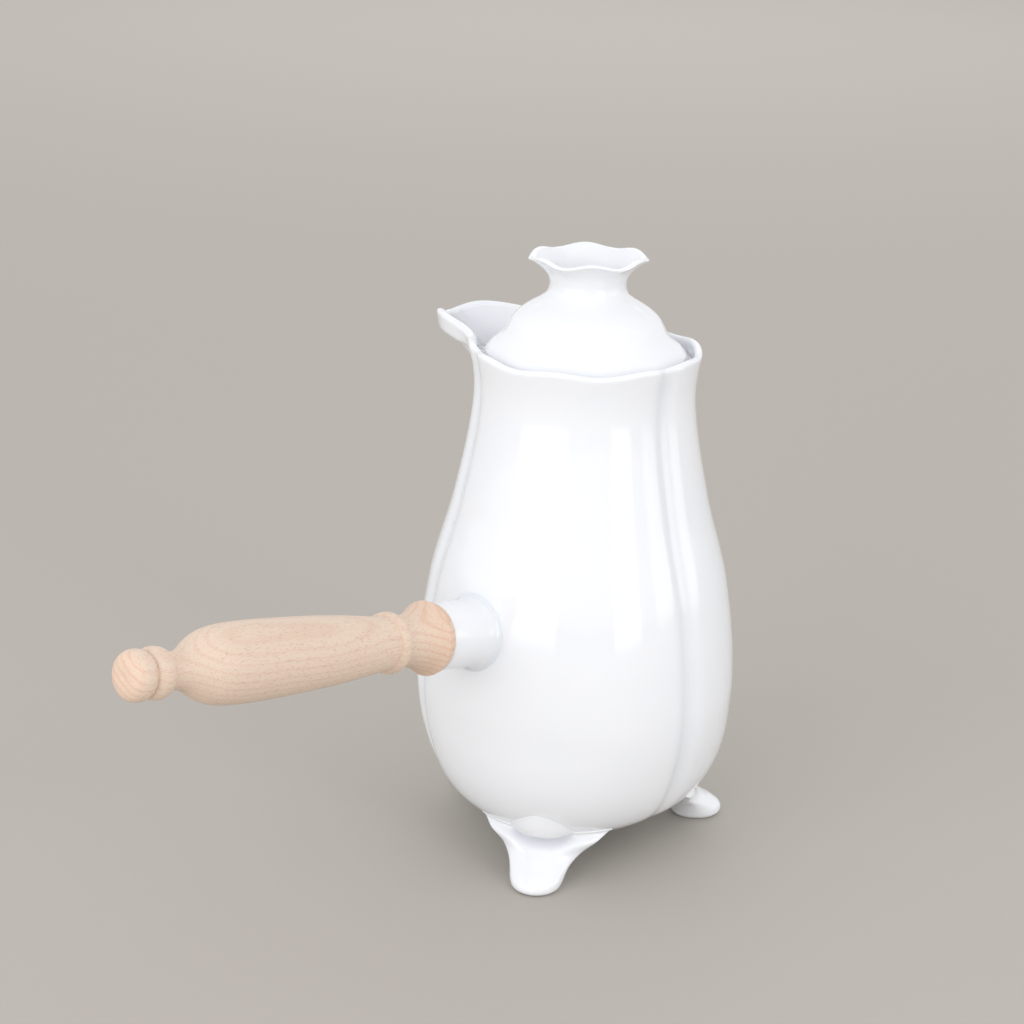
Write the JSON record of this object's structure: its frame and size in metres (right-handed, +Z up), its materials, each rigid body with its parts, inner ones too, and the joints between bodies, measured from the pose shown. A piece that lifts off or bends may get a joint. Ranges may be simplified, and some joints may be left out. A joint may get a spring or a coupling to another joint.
{
  "type": "chocolate pot",
  "caption": "Lobed porcelain chocolate pot on three feet, with a poured-lip spout, a loose lid with a flared open finial and a turned beech side handle.",
  "frame": {"origin": "on the body's axis, at the level of the feet's flats", "axes": "+Z up along the body's axis, +X towards the spout"},
  "size_m": [0.1463, 0.287, 0.2398],
  "materials": {
    "porcelain": "white hard-paste porcelain with a clear glaze",
    "cement": "set white bedding cement",
    "beech": "raw turned beech, sanded, not varnished"
  },
  "bodies": {
    "pot": {"pot_body": "porcelain", "foot_under_spout": "porcelain", "foot_under_handle": "porcelain", "foot_opposite_handle": "porcelain", "handle_socket": "porcelain", "handle_cement": "cement", "handle": "beech"},
    "lid": {"lid": "porcelain"}
  },
  "joints": [
    {"name": "lid_lift", "type": "slide", "parent": "pot", "child": "lid", "axis": [0, 0, 1], "range_m": [0, 0.06]}
  ]
}
